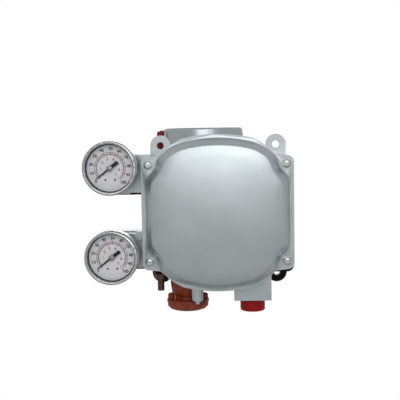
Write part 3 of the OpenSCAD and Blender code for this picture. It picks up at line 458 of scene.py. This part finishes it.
# %% housing and upper plug
DRAFT_H, DRAFT_IN, HEAD_OUT = 10 * MM, 0.9 * MM, 1.9 * MM
WALL = 2 * MM
END_FACE = 0.1 * MM


def pick(piece, wanted):
    """In edit mode, select the vertices for which wanted(place) holds."""
    bpy.ops.mesh.select_mode(type="VERT")
    bpy.ops.mesh.select_all(action="DESELECT")
    bpy.ops.object.mode_set(mode="OBJECT")
    for vertex in piece.data.vertices:
        vertex.select = wanted(vertex.co)
    bpy.ops.object.mode_set(mode="EDIT")


def draft_the_top(piece):
    """Let the top band of the round housing lean in a little."""
    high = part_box("transmitter_housing")[1]
    axis = sum(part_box("lid_seal"), Vector()) / 2
    radius = high.x - axis.x
    cut_z = high.z - DRAFT_H
    bpy.ops.mesh.bisect(plane_co=(0, 0, cut_z), plane_no=(0, 0, 1))
    pick(piece, lambda co: co.z > cut_z + MM and math.hypot(co.x - axis.x, co.y - axis.y) > radius - WALL)
    shrink = 1 - DRAFT_IN / radius
    bpy.ops.transform.resize(value=(shrink, shrink, 1), center_override=(axis.x, axis.y, 0))


def lengthen_the_head(piece):
    """Move the end face of the upper plug outwards."""
    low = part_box("upper_conduit_plug")[0]
    pick(piece, lambda co: co.x < low.x + END_FACE)
    bpy.ops.transform.translate(value=(-HEAD_OUT, 0, 0))


housing = soft_copy("transmitter_housing", 0.5, reshape=draft_the_top)
upper_plug = soft_copy("upper_conduit_plug", 1.6, reshape=lengthen_the_head)
# the upper plug takes the darker reds, painted shade
upper_plug.data.materials[0] = shaded_red_plastic
print("housing and plug faces:", len(housing.data.polygons), len(upper_plug.data.polygons))

# %% [markdown]
# The cover and the bezels are curved almost everywhere. Only their sharpest edges get a bevel, and the
# limit for smooth shading is wider, so that no facet of a curve shows.

# %% cover and bezels
cover = soft_copy("front_cover", 0.9, sharp_deg=62, smooth_deg=40)
for name in ("upper_bezel", "lower_bezel"):
    soft_copy(name, 0.25, sharp_deg=50, smooth_deg=60)
print("cover faces:", len(cover.data.polygons))

# %% [markdown]
# ## Springs
# A coil spring touches two parts, and one of them moves. Each spring is a smooth copy with its
# transform baked into its mesh. The range spring stands between two moving parts. It is cut at half
# its height, and each half is kept as a piece of its own.

# %% springs
COIL_SMOOTH_DEG = 60


def blend_along_z(piece):
    """Bake a piece's transform into its mesh."""
    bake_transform(piece)
    return piece


def springy_copy(node):
    """A smooth copy of a spring, with its transform baked in."""
    piece = soft_copy(node, 0, smooth_deg=COIL_SMOOTH_DEG, ride=False)
    return blend_along_z(piece)


def keep_half(piece, name, plane_z, upper):
    """Cut a piece at a height, close the cut and keep the upper or the lower half."""
    piece.name = name
    only(piece)
    bpy.ops.object.mode_set(mode="EDIT")
    bpy.ops.mesh.select_all(action="SELECT")
    bpy.ops.mesh.bisect(plane_co=(0, 0, plane_z), plane_no=(0, 0, 1), use_fill=True,
                        clear_inner=upper, clear_outer=not upper)
    bpy.ops.object.mode_set(mode="OBJECT")


def two_way_spring(node):
    """A spring between two moving bodies, cut at half its height into two halves."""
    low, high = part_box(node)
    middle = (low.z + high.z) / 2
    foot = soft_copy(node, 0, smooth_deg=COIL_SMOOTH_DEG, ride=False)
    only(foot)
    bpy.ops.object.duplicate()
    head = bpy.context.object
    keep_half(foot, node + "_foot", middle, upper=False)
    keep_half(head, node + "_head", middle, upper=True)
    return [blend_along_z(foot),
            blend_along_z(head)]


springs = two_way_spring("range_spring")
springs += [springy_copy("zero_spring"), springy_copy("pilot_spring")]
print("springs:", [spring.name for spring in springs])

# %% [markdown]
# ## Printed dials
# Each gauge dial carries two scales on one black arc: black strokes and figures outside it, red ones
# inside it. A thin red arc runs through the black strokes. The print is made as very thin raised ink,
# so that it survives in the mesh. A stroke is a slab laid along a radius, and figures are text turned
# into a mesh.

# %% strokes and figures
INK = 0.06 * MM
BOLDER = 0.025


def on_dial(centre, angle_deg, radius):
    """A place on a dial, at an angle clockwise from straight up."""
    a = math.radians(angle_deg)
    return Vector((centre.x + radius * math.sin(a), centre.y, centre.z + radius * math.cos(a)))


def slab_tick(centre, angle_deg, inner, outer, width):
    """One printed stroke along a radius."""
    bpy.ops.mesh.primitive_cube_add(size=1, location=on_dial(centre, angle_deg, (inner + outer) / 2),
                                    rotation=(0, math.radians(angle_deg), 0))
    stroke = bpy.context.object
    stroke.scale = (width, INK, outer - inner)
    return stroke


def figure(centre, words, angle_deg, radius, height):
    """Upright figures centred on a radius."""
    bpy.ops.object.text_add(location=on_dial(centre, angle_deg, radius), rotation=(math.pi / 2, 0, 0))
    text = bpy.context.object
    text.data.body = words
    text.data.size = height
    text.data.align_x = "CENTER"
    text.data.align_y = "CENTER"
    text.data.offset = BOLDER * height
    text.data.extrude = INK / 2
    only(text)
    bpy.ops.object.convert(target="MESH")
    return bpy.context.object


print("ink stands up, mm:", round(INK / MM, 2))

# %% [markdown]
# An arc starts as a thin ring round the dial's middle. The part below the scale is deleted, and the
# two open ends are closed, so that the ink stays a solid.

# %% arcs
SCALE_START, SCALE_SWEEP = 228, 270  # degrees clockwise from straight up
ROUND = 96


def printed_arc(centre, radius, width):
    """A thin ring, cut open below the scale."""
    bpy.ops.mesh.primitive_torus_add(location=centre, rotation=(math.pi / 2, 0, 0), major_radius=radius,
                                     minor_radius=width / 2, major_segments=ROUND, minor_segments=6)
    arc = bpy.context.object
    only(arc)
    bpy.ops.object.transform_apply(location=True, rotation=True, scale=True)
    gap = math.radians(180 - (360 - SCALE_SWEEP) / 2)
    bpy.ops.object.mode_set(mode="EDIT")
    pick(arc, lambda co: abs(math.atan2(co.x - centre.x, co.z - centre.z)) > gap)
    bpy.ops.mesh.delete(type="VERT")
    bpy.ops.mesh.select_mode(type="EDGE")
    bpy.ops.mesh.select_all(action="DESELECT")
    bpy.ops.mesh.select_non_manifold()
    bpy.ops.mesh.edge_face_add()
    bpy.ops.object.mode_set(mode="OBJECT")
    return arc


print("scale sweeps, degrees:", SCALE_SWEEP)

# %% [markdown]
# All the print in one colour is joined into one piece that rides on the case. A dark grey rubber ring
# between window and dial is painted shade: it stands for the shadow that the bezel casts on the dial.
# It starts as a torus and is stretched along its axis, which makes its round section taller than it is
# wide.

# %% joining, and the ring of painted shade
# the ring of painted shade inside each bezel: radius, section width and offset in front of the dial
SHADE_RING_R, SHADE_RING_W, SHADE_RING_UP = 21.3 * MM, 1.0 * MM, 2.2 * MM
SHADE_RING_STRETCH = 1.6


def join_print(pieces, name, ink):
    """Join printed pieces into one, with its place in its mesh."""
    only(*pieces)
    bpy.ops.object.join()
    piece = bpy.context.object
    piece.name = name
    bpy.ops.object.transform_apply(location=True, rotation=True, scale=True)
    piece.data.materials.clear()
    piece.data.materials.append(ink)
    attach(piece, "case")
    return piece


def painted_shade_ring(gauge, centre):
    """The dark rubber ring between dial and window: painted shade for the bezel's shadow on the dial."""
    bpy.ops.mesh.primitive_torus_add(location=centre - Vector((0, SHADE_RING_UP, 0)), rotation=(math.pi / 2, 0, 0),
                                     major_radius=SHADE_RING_R, minor_radius=SHADE_RING_W / 2,
                                     major_segments=ROUND, minor_segments=12)
    ring = bpy.context.object
    ring.scale = (1, 1, SHADE_RING_STRETCH)
    join_print([ring], gauge + "_painted_shade_ring", shade_ring_rubber)
    bpy.ops.object.shade_smooth()


print("seal diameter, mm:", round(2 * SHADE_RING_R / MM, 1))

# %% [markdown]
# The two scales differ only in their steps, in the side of the arc that their strokes are on and in
# the place of their figures, so one function lays out both. Two dots below the pivot stand for the
# rivets that hold the dial.

# %% print both dials
ARC_R, ARC_W = 12.4 * MM, 0.45 * MM
RED_ARC_R, RED_ARC_W = 14.2 * MM, 0.4 * MM
STROKES_A_STEP = 5
LONG_W, SHORT_W = 0.4 * MM, 0.22 * MM
BLACK_SCALE = {"steps": 10, "unit": 10, "long_reach": 2.6 * MM, "short_reach": 1.5 * MM,
               "figure_r": 17.4 * MM, "figure_h": 3.8 * MM}
RED_SCALE = {"steps": 7, "unit": 1, "long_reach": -2.0 * MM, "short_reach": -1.1 * MM,
             "figure_r": 8.3 * MM, "figure_h": 3.4 * MM}
DOT_R, DOT_X, DOT_Z = 0.9 * MM, 4.4 * MM, -10.5 * MM


def scale_print(centre, steps, unit, long_reach, short_reach, figure_r, figure_h):
    """Strokes and figures of one scale; a negative reach points inwards from the arc."""
    pieces = []
    strokes = steps * STROKES_A_STEP
    for stroke in range(strokes + 1):
        angle = SCALE_START + SCALE_SWEEP * stroke / strokes
        long = stroke % STROKES_A_STEP == 0
        inner, outer = sorted((ARC_R, ARC_R + (long_reach if long else short_reach)))
        pieces.append(slab_tick(centre, angle, inner, outer, LONG_W if long else SHORT_W))
        if long:
            words = str(stroke // STROKES_A_STEP * unit)
            pieces.append(figure(centre, words, angle, figure_r, figure_h))
    return pieces


def print_dial(gauge):
    """Both scales, the dots and the ring of painted shade of one gauge."""
    low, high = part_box(gauge + "_dial")
    centre = (low + high) / 2
    centre.y = low.y - INK / 2
    black, red = [printed_arc(centre, ARC_R, ARC_W)], [printed_arc(centre, RED_ARC_R, RED_ARC_W)]
    black += scale_print(centre, **BLACK_SCALE)
    red += scale_print(centre, **RED_SCALE)
    for x in (-DOT_X, DOT_X):
        bpy.ops.mesh.primitive_cylinder_add(vertices=24, radius=DOT_R, depth=INK,
                                            location=centre + Vector((x, 0, DOT_Z)),
                                            rotation=(math.pi / 2, 0, 0))
        black.append(bpy.context.object)
    join_print(black, gauge + "_black_scale", black_ink)
    join_print(red, gauge + "_red_scale", red_ink)
    painted_shade_ring(gauge, centre)


for gauge in ("upper", "lower"):
    print_dial(gauge)
print("printed both dials")

# %% [markdown]
# ## Screw heads
# Four pan head screws hold the cover. A head starts as a disc, gets its dome from a wide bevel, and a
# cross recess is cut into it with two crossed bars. One head is modelled and copied to each corner.

# %% a pan head with a cross recess
BAR_LONG, BAR_WIDE, BAR_DEEP = 0.9, 0.2, 0.7  # shares of the head's radius, radius and height


def pan_head(radius, height, dome):
    """A domed head along +Z, standing on the origin, with a cross recess."""
    bpy.ops.mesh.primitive_cylinder_add(vertices=48, radius=radius, depth=height, location=(0, 0, height / 2))
    head = bpy.context.object
    bpy.ops.object.transform_apply(location=True, rotation=True, scale=True)
    bpy.ops.object.mode_set(mode="EDIT")
    bpy.ops.mesh.select_all(action="DESELECT")
    bpy.ops.object.mode_set(mode="OBJECT")
    for edge in head.data.edges:
        edge.select = all(head.data.vertices[v].co.z > 0.99 * height for v in edge.vertices)
    bpy.ops.object.mode_set(mode="EDIT")
    bpy.ops.mesh.select_mode(type="EDGE")
    bpy.ops.mesh.bevel(offset=dome, segments=8, profile=0.5, affect="EDGES")
    bpy.ops.object.mode_set(mode="OBJECT")
    for turn in (0, math.pi / 2):
        bpy.ops.mesh.primitive_cube_add(size=1, location=(0, 0, height), rotation=(0, 0, turn + math.pi / 4))
        bar = bpy.context.object
        bar.scale = (BAR_LONG * radius, BAR_WIDE * radius, BAR_DEEP * height)
        cut = head.modifiers.new("recess", "BOOLEAN")
        cut.object = bar
        cut.operation = "DIFFERENCE"
        only(head)
        bpy.ops.object.modifier_apply(modifier=cut.name)
        only(bar)
        bpy.ops.object.delete()
    only(head)
    bpy.ops.object.shade_smooth_by_angle(angle=math.radians(40))
    return head


print("recess bar, share of the radius:", BAR_LONG)

# %% [markdown]
# The corners of the CAD screws' box give the four places. The heads are joined into one piece that
# stands for the CAD screws, in brighter zinc than the screws inside.

# %% cover screws
COVER_HEAD_R, COVER_HEAD_H, COVER_DOME = 4 * MM, 2.6 * MM, 2.4 * MM


def cover_screw_heads():
    """The four heads on the cover as one piece."""
    low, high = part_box("cover_screws")
    heads = []
    pattern = pan_head(COVER_HEAD_R, COVER_HEAD_H, COVER_DOME)
    pattern.rotation_euler = (math.pi / 2, 0, 0)
    seat_y = low.y + COVER_HEAD_H
    for x in (low.x + COVER_HEAD_R, high.x - COVER_HEAD_R):
        for z in (low.z + COVER_HEAD_R, high.z - COVER_HEAD_R):
            only(pattern)
            bpy.ops.object.duplicate()
            bpy.context.object.location = (x, seat_y, z)
            heads.append(bpy.context.object)
    only(pattern)
    bpy.ops.object.delete()
    only(*heads)
    bpy.ops.object.join()
    piece = bpy.context.object
    piece.name = "cover_screw_heads"
    bpy.ops.object.transform_apply(location=True, rotation=True, scale=True)
    settle(piece, "cover_screws", bright_zinc)
    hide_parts("cover_screws")
    return piece


screws = cover_screw_heads()
print("cover screw faces:", len(screws.data.polygons))

# %% [markdown]
# One more small head shows on the side pad beside the lower gauge. It is about as grey as the casting,
# so it wears the same enamel. A ray from the front finds the face that it sits on.

# %% pad screw
PAD_HEAD_R, PAD_HEAD_H, PAD_DOME = 2.0 * MM, 1.4 * MM, 1.3 * MM
PAD_X, PAD_Z = -73.0 * MM, -25.2 * MM
IN_FRONT = -0.2


def pad_screw_head(x, z):
    """A small head on the case's side pad, seated where a ray from the front meets the casting."""
    bpy.context.view_layer.update()
    case = bpy.data.objects["case_finished"]
    hit, seat, _, _ = case.ray_cast(Vector((x, IN_FRONT, z)), Vector((0, 1, 0)))
    piece = pan_head(PAD_HEAD_R, PAD_HEAD_H, PAD_DOME)
    piece.name = "pad_screw_head"
    piece.rotation_euler = (math.pi / 2, 0, 0)
    piece.location = seat
    bpy.ops.object.transform_apply(location=True, rotation=True, scale=True)
    piece.data.materials.append(enamel)
    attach(piece, "case")
    print("pad screw on the casting:", hit, [round(c / MM, 1) for c in seat])


pad_screw_head(PAD_X, PAD_Z)

# %% [markdown]
# ## Light and floor
# The picture is a catalogue shot on white paper with one wide soft light in front and above. The
# satin cover mirrors that light only near its top edge, because the face is crowned, and its steep
# wall mirrors the dim room beside it. A weak fill at eye level lifts the middle of the face, and a
# light from behind keeps the back readable.


# %% lights
def soft_light(name, azimuth_deg, elevation_deg, distance, size, watts):
    """A rectangular light that faces the instrument, at an angle from straight in front."""
    a, e = math.radians(azimuth_deg), math.radians(elevation_deg)
    towards = Vector((math.sin(a) * math.cos(e), -math.cos(a) * math.cos(e), math.sin(e)))
    bpy.ops.object.light_add(type="AREA", location=AIM + distance * towards,
                             rotation=towards.to_track_quat("Z", "Y").to_euler())
    light = bpy.context.object
    light.name = name
    light.data.shape = "RECTANGLE"
    light.data.size, light.data.size_y = size
    light.data.energy = watts


soft_light("wide_front_light", 4, 27, 1.6, (1.3, 0.9), 6.6)
soft_light("eye_level_fill", 0, 2, 1.6, (1.1, 0.5), 0.5)
soft_light("back_light", 180, 10, 1.7, (0.9, 0.6), 2.2)

# %% [markdown]
# The paper that the camera sees is brighter than the room that lights the paint, so the world mixes
# two strengths by the kind of ray. Low down the room is dimmer still, as under a table.

# %% room
WHITE = "#FFFFFF"
PAPER_GLOW = 1.0
DIM_BELOW, BRIGHT_ABOVE = -0.8, -0.45
DIM_ROOM, BRIGHT_ROOM = 0.28, 0.47
world = bpy.data.worlds.new("white_studio")
bpy.context.scene.world = world
world.use_nodes = True
room_tree = world.node_tree
room_tree.nodes.clear()
rays = add(room_tree, "ShaderNodeLightPath")
sky = add(room_tree, "ShaderNodeTexCoord")
height = add(room_tree, "ShaderNodeSeparateXYZ", {"Vector": (sky, "Generated")})
glow = add(room_tree, "ShaderNodeMapRange", {
    "Value": (height, "Z"), "From Min": DIM_BELOW, "From Max": BRIGHT_ABOVE,
    "To Min": DIM_ROOM, "To Max": BRIGHT_ROOM})
room = add(room_tree, "ShaderNodeBackground", {"Color": linear(WHITE), "Strength": (glow, 0)})
paper = add(room_tree, "ShaderNodeBackground", {"Color": linear(WHITE), "Strength": PAPER_GLOW})
seen = add(room_tree, "ShaderNodeMixShader", {0: (rays, "Is Camera Ray"), 1: (room, 0), 2: (paper, 0)})
add(room_tree, "ShaderNodeOutputWorld", {"Surface": (seen, 0)})
print("room strength:", DIM_ROOM, "to", BRIGHT_ROOM)

# %% [markdown]
# The instrument hangs on its bracket, so the floor lies far below the picture's edge. It is a disc of
# pale paper, and it too looks lit to the camera and dim to the paint.

# %% floor
FLOOR_R, FLOOR_Z = 0.45, -1.3
FIBRE_MM = 40
bpy.ops.mesh.primitive_circle_add(vertices=ROUND, radius=FLOOR_R, fill_type="NGON", location=(0, 0, FLOOR_Z))
floor = bpy.context.object
floor.name = "floor"
pale, floor_tree = blank_material("pale_paper_floor")
floor_place = add(floor_tree, "ShaderNodeTexCoord")
fibres = add(floor_tree, "ShaderNodeTexNoise", {
    "Vector": (floor_place, "Object"), "Scale": per_mm(FIBRE_MM)})
paper_tone = add(floor_tree, "ShaderNodeValToRGB", {"Fac": (fibres, "Fac")},
                 stops=[(NOISE_LOW, "#F0F0F0"), (NOISE_HIGH, "#F6F6F6")])
floor_shader = add(floor_tree, "ShaderNodeBsdfPrincipled", {
    "Base Color": (paper_tone, "Color"), "Roughness": 0.9})
floor_rays = add(floor_tree, "ShaderNodeLightPath")
lit_paper = add(floor_tree, "ShaderNodeEmission", {"Color": linear(WHITE), "Strength": PAPER_GLOW})
floor_mix = add(floor_tree, "ShaderNodeMixShader", {
    0: (floor_rays, "Is Camera Ray"), 1: (floor_shader, 0), 2: (lit_paper, 0)})
add(floor_tree, "ShaderNodeOutputMaterial", {"Surface": (floor_mix, 0)})
floor.data.materials.append(pale)
print("floor below the instrument, m:", -FLOOR_Z)
